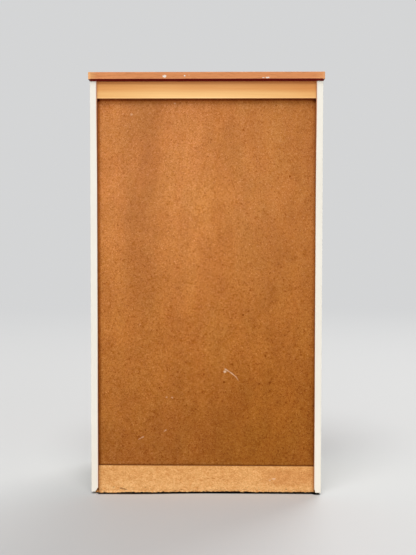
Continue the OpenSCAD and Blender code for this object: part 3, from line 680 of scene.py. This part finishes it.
def white_board(name, box, inner_side=0):
    """White faced board: an even satin face, scuffs low down, and a brown core where it has broken.

    inner_side is the sign of x towards the inside of the carcass, whose face is brown foil.
    """
    f = Finish(name, specular=0.45)
    x, y, z = f.split(f.place)
    cloud = f.cloud(4.0)
    tone = f.mix(cloud, srgb(246, 241, 229), srgb(242, 236, 223))
    scuff = f.noise(f.vector("MULTIPLY", f.place, (1.0, 0.35, 2.2)), 70.0, 5.0, 0.7)
    scuffs = f.span(f.math("SUBTRACT", scuff, f.span(z, 0.0, 0.35, 0.67, 0.80)), 0.0, 0.05)
    tone = f.mix(f.times(scuffs, 0.35), tone, srgb(176, 166, 152))
    tone = f.mix(f.times(f.wear(box, 0.0011), 0.45), tone, srgb(208, 198, 183))
    rough = f.math("MULTIPLY_ADD", scuffs, 0.2, f.math("MULTIPLY_ADD", cloud, 0.06, 0.36))
    relief = f.noise(f.place, 900.0)
    if inner_side:
        nx, ny, nz = f.facing()
        # Painted light: the rear edge a little paler towards the foot
        rear_edge = f.span(ny, 0.5, 0.9)
        tone = f.tint(tone, f.times(rear_edge, f.span(z, 0.25, 0.03)), shade(1.05, 1.04, 1.03))
        inner_x = box[1][0] if inner_side > 0 else box[0][0]
        inside = f.times(f.math("SUBTRACT", inner_x, x), inner_side)
        # The brown foil's edge along the rear edge, widened near the top as painted shade
        width = f.math("ADD", f.span(z, *FOIL_AND_SHADE_AT_TOP), f.span(z, *FOIL_AT_FOOT))
        behind = f.span(y, PLINTH_FRONT - 0.001, PLINTH_FRONT)
        foil_edge_and_shade = f.span(inside, f.times(width, 0.5), width, 0.9, 0.0)
        tone = f.mix(f.times(foil_edge_and_shade, behind), tone, srgb(190, 124, 84))
        foil = f.mix(f.cloud(40.0), srgb(150, 98, 58), srgb(134, 84, 48))
        tone = f.mix(f.times(f.span(f.times(nx, inner_side), 0.9, 0.99), behind), tone, foil)
        crumbs = f.split(f.cells(f.place, 420.0, "Color"))[0]
        sizes = [f.math("ABSOLUTE", part) for part in (nx, ny, nz)]
        squarest = f.math("MAXIMUM", f.math("MAXIMUM", sizes[0], sizes[1]), sizes[2])
        broken = f.span(squarest, 0.985, 0.97)
        tone = f.mix(broken, tone, f.mix(crumbs, srgb(134, 84, 38), srgb(212, 154, 92)))
        relief = f.math("MULTIPLY_ADD", f.times(broken, crumbs), 12.0, relief)
    return f.finish(tone, rough, f.bump(relief, 0.08, 0.0004))


def pale_wood(name, order, box, pith, tones):
    """Sealed pale hardwood with close, faint figure."""
    f = Finish(name, specular=0.4)
    wood = f.grain(order, box, pith, Spacing=0.005, Lean=0.06, Waviness=0.04, Ripple=0.25,
                   Fibre_Scale=800.0, Pore_Scale=1000.0)
    tone = f.mix(f.times(wood["Rings"], 0.55), *tones)
    tone = f.tint(tone, wood["Bands"], shade(0.90, 0.86, 0.80), 0.35)
    tone = f.tint(tone, wood["Pores"], shade(0.70, 0.60, 0.50), 0.35)
    tone = f.tint(tone, f.wear(box, 0.0015), shade(0.78, 0.72, 0.64), 0.4)
    rough = f.math("MULTIPLY_ADD", wood["Fibres"], 0.12, 0.42)
    return f.finish(tone, rough, f.bump(wood["Fibres"], 0.1, 0.0002))


def metal(name, colour, roughness):
    """Turned screw metal, a little uneven."""
    f = Finish(name, Metallic=1.0)
    cloud = f.cloud(260.0)
    tone = f.tint(colour, cloud, shade(0.60, 0.58, 0.55), 0.4)
    rough = f.math("MULTIPLY_ADD", cloud, 0.2, roughness)
    return f.finish(tone, rough, f.bump(cloud, 0.08, 0.0002))


def block_plastic():
    """The corner blocks' off-white plastic, with a fine moulded grain."""
    f = Finish("block plastic", specular=0.5)
    cloud = f.cloud(60.0)
    tone = f.mix(cloud, srgb(232, 228, 218), srgb(222, 216, 203))
    rough = f.math("MULTIPLY_ADD", cloud, 0.1, 0.4)
    return f.finish(tone, rough, f.bump(f.noise(f.place, 1200.0), 0.1, 0.0002))


def pick(part, test):
    """In edit mode, selects only the vertices or edges for which the test holds."""
    bpy.ops.mesh.select_all(action="DESELECT")
    mesh = bpy.context.edit_object.data
    shape = bmesh.from_edit_mesh(mesh)
    for item in getattr(shape, part):
        if test(item):
            item.select_set(True)
    bmesh.update_edit_mesh(mesh)


def choose(mode):
    """In edit mode, works on vertices, edges or faces."""
    bpy.ops.mesh.select_mode(type=mode)


def cut(place, normal):
    """In edit mode, cuts every face along a plane."""
    bpy.ops.mesh.select_all(action="SELECT")
    bpy.ops.mesh.bisect(plane_co=place, plane_no=normal)


def start_block(name, low, high):
    """A block between two corners, left in edit mode."""
    low, high = Vector(low), Vector(high)
    bpy.ops.object.select_all(action="DESELECT")
    bpy.ops.mesh.primitive_cube_add(size=1, location=(low + high) / 2, scale=high - low)
    piece = bpy.context.object
    piece.name = piece.data.name = name
    bpy.ops.object.transform_apply(location=True, rotation=True, scale=True)
    bpy.ops.object.mode_set(mode="EDIT")
    return piece


def crumble(piece, name, direction, strength, level, crumb_size, test):
    """Roughens the points for which the test holds, along one axis; level is the texture's value
    at which a point stays in place."""
    bpy.ops.object.mode_set(mode="EDIT")
    choose("VERT")
    pick("verts", test)
    bpy.ops.object.vertex_group_assign_new()
    bpy.ops.object.mode_set(mode="OBJECT")
    texture = bpy.data.textures.new(name, "CLOUDS")
    texture.noise_scale = crumb_size
    texture.noise_depth = 3
    rough = piece.modifiers.new(name, "DISPLACE")
    rough.texture = texture
    rough.vertex_group = piece.vertex_groups[-1].name
    rough.direction = direction
    rough.strength = strength
    rough.mid_level = level
    bpy.ops.object.modifier_apply(modifier=name)


# How far the chipboard rail's lower edge lies above its place in the frame, along x, in metres
FOOT_EDGE = ((-INNER_X, 0.0008), (-0.19, 0.0010), (-0.14, 0.0006), (-0.07, 0.0014), (-0.01, 0.0012),
             (0.05, -0.0002), (0.14, -0.0016), (0.19, -0.0018), (0.24, -0.0032), (INNER_X, -0.0040))
# Cuts that make room for the crumbs: above the lower edge, and in from the rear face
CRUMB_HEIGHTS = (0.0026, 0.0048, 0.009)
CRUMB_DEPTHS = (0.0015, 0.004)
# Edges longer than the first length are divided, and then those longer than the second
LONG_EDGES = (0.02, 0.004)
EDGE_CUTS = 8


def model_foot_rail():
    """The chipboard rail, with a sawn lower edge that has crumbled and isn't quite level."""
    low, high = Vector(FOOT_LOW), Vector(FOOT_HIGH)
    piece = start_block("chipboard_foot_rail", low, high)
    choose("VERT")
    for x, _ in FOOT_EDGE[1:-1]:
        cut((x, 0, 0), (1, 0, 0))
    for x, rise in FOOT_EDGE:
        pick("verts", lambda v: v.co.z < low.z + 0.003 and abs(v.co.x - x) < 0.001)
        bpy.ops.transform.translate(value=(0, 0, rise))
    choose("EDGE")
    for length in LONG_EDGES:
        pick("edges", lambda e: abs(e.verts[0].co.x - e.verts[1].co.x) > length)
        bpy.ops.mesh.subdivide(number_cuts=EDGE_CUTS)
    for height in CRUMB_HEIGHTS:
        cut((0, 0, low.z + height), (0, 0, 1))
    for depth in CRUMB_DEPTHS:
        cut((0, high.y - depth, 0), (0, 1, 0))
    bpy.ops.object.mode_set(mode="OBJECT")
    crumble(piece, "crumbled edge", "Z", strength=0.0042, level=0.5, crumb_size=0.007,
            test=lambda v: v.co.z < low.z + 0.0022)
    crumble(piece, "crumbled arris", "Y", strength=-0.0045, level=0.42, crumb_size=0.005,
            test=lambda v: v.co.z < low.z + 0.004 and v.co.y > high.y - 0.001)
    piece.data.materials.append(raw_chipboard())
    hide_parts("rear_foot_rail")
    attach(piece, "carcass")


# The broken foot corners: their side of x, the width and height that has come off, how deep the core
# lies behind the rear edge and how low it hangs under the panel, in metres
BREAKS = ((1, 0.0075, 0.013, 0.001, 0.003), (-1, 0.0035, 0.015, 0.006, 0.0))
# How far the core reaches in from the rear edge, how far its top leans in, and its crumbs' size
CORE_REACH = 0.019
CORE_LEAN = 0.006
CORE_CRUMB = 0.0030
CORE_CUTS = 15
# How far the core keeps off the panel's inner face and its lower edge
CORE_INSET = 0.0002
CORE_LIFT = 0.0004


def torn_core(name, foot, rear):
    """The core where a corner has come off: pale crumbs at the foot, with painted shade above it and where
    it lies deep.
    """
    f = Finish(name, specular=0.1)
    _, y, z = f.split(f.place)
    crumbs = f.split(f.cells(f.place, 620.0, "Color"))[0]
    tone = f.mix(f.times(crumbs, 0.6), srgb(214, 156, 88), srgb(168, 108, 48))
    height = f.math("SUBTRACT", z, foot)
    # Painted shade above the foot and deeper in
    tone = f.tint(tone, f.span(height, 0.0005, 0.005), shade(0.36, 0.24, 0.10), 0.9)
    tone = f.tint(tone, f.span(y, rear - 0.004, rear - 0.008), shade(0.40, 0.30, 0.20), 0.9)
    return f.finish(tone, 0.85, f.bump(crumbs, 0.5, 0.0006))


def model_torn_core(side, width, height, depth, hang):
    """The rough core that shows where a side panel's rear foot corner has broken off."""
    name = "torn_core_" + ("right" if side > 0 else "left")
    panel_low, panel_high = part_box("left_side_panel")
    low_z, high_z = panel_low[2] + CORE_LIFT - hang, panel_low[2] + height
    rear = panel_high[1]
    face = rear - depth
    inner, outer = sorted((side * (INNER_X + CORE_INSET), side * (INNER_X + width)))
    piece = start_block(name, (inner, rear - CORE_REACH, low_z), (outer, face, high_z))
    choose("VERT")
    pick("verts", lambda v: v.co.y > face - 0.001 and v.co.z > high_z - 0.001)
    bpy.ops.transform.translate(value=(0, -CORE_LEAN, 0))
    bpy.ops.mesh.select_all(action="SELECT")
    bpy.ops.mesh.subdivide(number_cuts=CORE_CUTS)
    bpy.ops.object.mode_set(mode="OBJECT")
    slope = CORE_LEAN / (high_z - low_z)
    crumble(piece, name + " face", "Y", strength=0.005, level=0.85, crumb_size=CORE_CRUMB,
            test=lambda v: v.co.y > face - 0.0002 - slope * (v.co.z - low_z))
    crumble(piece, name + " foot", "Z", strength=0.003, level=0.4, crumb_size=CORE_CRUMB,
            test=lambda v: v.co.z < low_z + 0.0004)
    piece.data.materials.append(torn_core(name + " crumbs", panel_low[2], rear))
    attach(piece, "carcass")


def paint(node, material):
    """Gives a carried-over node its finish."""
    slots = NODES[node].data.materials
    slots.clear()
    slots.append(material)


def finish_top():
    """The top board and its lippings."""
    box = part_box("top_panel")
    paint("top_panel", teak("teak top", "XZY", box, (0.08, -0.03, 0.05), TOP_TONES, wear=0))
    paint("top_rear_lipping", teak_rear_lipping(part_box("top_rear_lipping"), (0.0, -0.03, -0.012)))
    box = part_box("top_front_lipping")
    paint("top_front_lipping", teak("teak front lipping", "XYZ", box, (0.1, 0.03, 0.01), FRONT_TONES,
                                    spacing=0.0026, lean=0.012, waviness=0.012))
    for side, pith, end_tones in (("left", (0.0, 0.02, 0.01), LEFT_END_TONES),
                                  ("right", (0.1, -0.02, -0.01), RIGHT_END_TONES)):
        node = f"top_{side}_lipping"
        paint(node, teak_side_lipping(f"teak {side} lipping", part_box(node), pith, end_tones))


def finish_carcass():
    """The carcass's boards, rails, runners and fastenings."""
    paint("back_panel", hardboard_back())
    for node, pith in (("rear_top_rail", (0.1, 0.05, -0.02)), ("front_top_rail", (-0.2, 0.04, 0.01))):
        paint(node, pine(node.replace("_", " ") + " pine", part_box(node), pith))
    for side, inner_side in (("left", 1), ("right", -1)):
        node = side + "_side_panel"
        paint(node, white_board(f"white {side} panel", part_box(node), inner_side))
    paint("plinth_board", white_board("white plinth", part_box("plinth_board")))
    for side, offset in (("left", 0.02), ("right", -0.03)):
        node, pith = side + "_runners", (offset, 0.02, offset)
        paint(node, pale_wood(side + " runner hardwood", "YXZ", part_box(node), pith, RUNNER_TONES))
    paint("dowels", pale_wood("dowel beech", "XYZ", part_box("dowels"), (0.0, 0.01, 0.01), DRAWER_TONES))
    steel = metal("screw steel", srgb(186, 186, 184), 0.3)
    for node in ("runner_screws", "corner_block_screws", "glides"):
        paint(node, steel)
    paint("corner_blocks", block_plastic())


# Each drawer front's pith, along the grain, behind the face and across it from its middle, and the
# slope of its grain
FRONT_CUTS = (((0.12, 0.030, 0.034), 0.075), ((-0.16, 0.046, -0.014), -0.05),
              ((0.05, 0.032, 0.060), 0.10), ((-0.08, 0.044, -0.040), -0.085),
              ((0.18, 0.060, 0.008), 0.04))
# A drawer's pale boards: the node's ending, the order of its axes and the pith's shift across it
DRAWER_BOARDS = (("left_side", "YXZ", 0.03), ("right_side", "YXZ", 0.033333), ("back", "XYZ", 0.013333))


def finish_drawers():
    """Every drawer's front, sides, back, bottom, knobs and screws."""
    bottoms = hardboard_bottom()
    brass = metal("screw brass", srgb(204, 168, 92), 0.28)
    for n, (pith, lean) in zip(DRAWERS, FRONT_CUTS):
        name = f"drawer_{n}_"
        front = name + "front"
        paint(front, teak(f"teak front {n}", "XYZ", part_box(front), pith, FRONT_TONES, lean=lean))
        for board, order, shift in DRAWER_BOARDS:
            board_pith = (pith[0], pith[1], pith[2] + shift)
            wood = pale_wood(f"drawer {n} {board}", order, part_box(name + board), board_pith, DRAWER_TONES)
            paint(name + board, wood)
        paint(name + "bottom", bottoms)
        for side in ("left", "right"):
            node, knob_pith = f"{name}{side}_knob", (pith[2], 0.02, pith[0] / 9)
            paint(node, teak(f"teak {side} knob {n}", "XYZ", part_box(node), knob_pith, KNOB_TONES,
                             spacing=0.0035, gloss=0.3, wear=0))
        paint(name + "knob_screws", brass)


def make_camera():
    data = bpy.data.cameras.new("camera")
    data.lens = CAMERA_LENS
    data.sensor_width = 36.0
    camera = bpy.data.objects.new("camera", data)
    bpy.context.scene.collection.objects.link(camera)
    turn = Matrix.Rotation(math.pi + CAMERA_YAW, 4, "Z")
    tilt = Matrix.Rotation(math.pi / 2 - CAMERA_PITCH, 4, "X")
    roll = Matrix.Rotation(CAMERA_ROLL, 4, "Z")
    camera.matrix_world = Matrix.Translation(CAMERA_PLACE) @ turn @ tilt @ roll
    bpy.context.scene.camera = camera


def make_lamp(name, azimuth, elevation, level):
    """A soft far lamp: azimuth turns from +X towards +Y."""
    data = bpy.data.lights.new(name, "SUN")
    data.energy = level * math.pi
    data.angle = LAMP_SOFTNESS
    lamp = bpy.data.objects.new(name, data)
    flat = math.cos(elevation)
    towards = Vector((flat * math.cos(azimuth), flat * math.sin(azimuth), math.sin(elevation)))
    lamp.rotation_euler = towards.to_track_quat("Z", "Y").to_euler()
    bpy.context.scene.collection.objects.link(lamp)


def seen_directly(w):
    """1 for what the camera, a reflection or a glass sees, 0 for light that falls on things."""
    path = w.node("LightPath").outputs
    seen = w.math("MAXIMUM", path["Is Camera Ray"], path["Is Glossy Ray"])
    return w.math("MAXIMUM", seen, path["Is Transmission Ray"])


def make_world():
    world = bpy.data.worlds.new("studio")
    bpy.context.scene.world = world
    world.use_nodes = True
    w = Wiring(world.node_tree)
    world.node_tree.nodes.clear()
    light = w.node("Background", {"Color": (1, 1, 1, 1), "Strength": SKY_LEVEL})
    shown = w.node("Background", {"Color": BACKDROP, "Strength": 1.0})
    mixed = w.node("MixShader", {0: seen_directly(w), 1: light.outputs[0], 2: shown.outputs[0]})
    w.node("OutputWorld", {0: mixed.outputs[0]})


def under_carcass(f):
    """1 for the painted shade on the floor under the carcass, whose right rear foot stands a little further
    off it.
    """
    x, y, _ = f.split(f.place)
    moved = f.math("ADD", f.span(x, *REAR_TO_RIGHT), f.span(x, *REAR_AT_LEFT))
    behind = f.math("SUBTRACT", f.math("ADD", moved, UNDER_REAR), y)
    inside = f.times(f.span(behind, -0.004, 0.001), f.span(y, *UNDER_FRONT))
    return f.times(inside, f.times(f.span(x, *UNDER_LEFT), f.span(x, *UNDER_RIGHT)))


def make_floor():
    bpy.ops.object.select_all(action="DESELECT")
    bpy.ops.mesh.primitive_plane_add(size=FLOOR_SIZE, location=(0, 0, 0))
    floor = bpy.context.object
    floor.name = "floor"
    f = Finish("studio floor", specular=0.15)
    seen = seen_directly(f)
    shown = f.tint(FLOOR_SEEN, under_carcass(f), UNDER_SHADE)
    f.finish(f.mix(seen, FLOOR_BOUNCE, shown), 0.6)
    away = f.times(f.span(f.vector("LENGTH", f.place), *FLOOR_FADE), seen)
    glow = f.node("Emission", {"Color": BACKDROP, "Strength": 1.0})
    mixed = f.node("MixShader", {0: away, 1: f.shader.outputs[0], 2: glow.outputs[0]})
    f.tree.links.new(mixed.outputs[0], f.tree.nodes["Material Output"].inputs["Surface"])
    floor.data.materials.append(f.material)


bpy.context.scene.view_settings.view_transform = "Standard"
make_camera()
make_world()
make_lamp("rear lamp", **REAR_LAMP)
make_lamp("front lamp", **FRONT_LAMP)
make_floor()
model_foot_rail()
for broken in BREAKS:
    model_torn_core(*broken)
finish_carcass()
finish_top()
finish_drawers()
